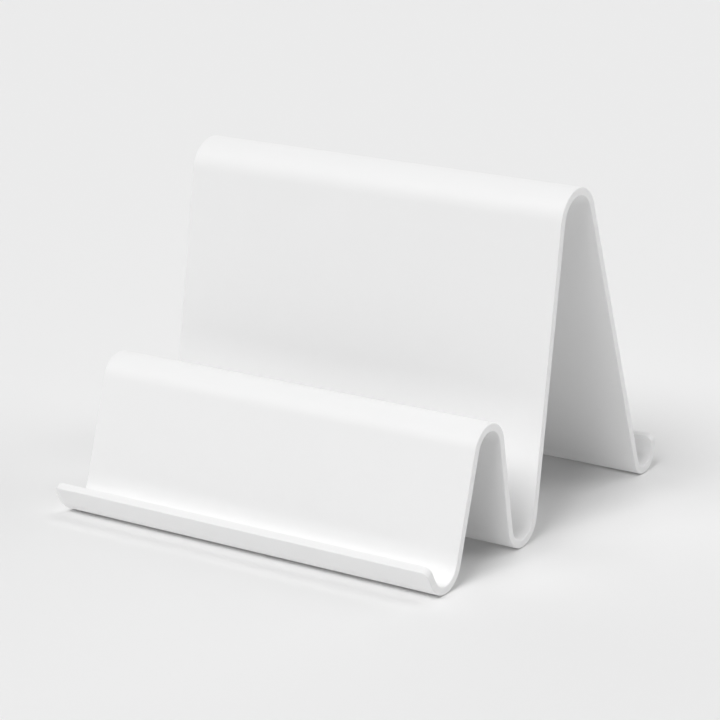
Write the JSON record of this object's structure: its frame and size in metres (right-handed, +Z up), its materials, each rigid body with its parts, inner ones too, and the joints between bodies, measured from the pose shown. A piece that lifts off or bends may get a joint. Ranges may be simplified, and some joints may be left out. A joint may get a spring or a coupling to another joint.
{
  "type": "tablet stand",
  "caption": "Tabletop stand folded from one sheet into a low and a tall hump, with a trough between them for a tablet and a lipped trough in front for a phone.",
  "frame": {"origin": "middle of the footprint, on the table that the strips rest on", "axes": "+Z up, -Y towards the user, who sees the low hump in front of the tall one; +X along the bends, to the user's right"},
  "size_m": [0.17, 0.1796, 0.132],
  "materials": {
    "sheet_coat": "white satin powder coat, with a very fine grain",
    "strip": "matte, pale grey silicone"
  },
  "bodies": {
    "root": {"bent_sheet": "sheet_coat", "front_foot_strip": "strip", "middle_foot_strip": "strip", "rear_foot_strip": "strip"}
  },
  "joints": []
}
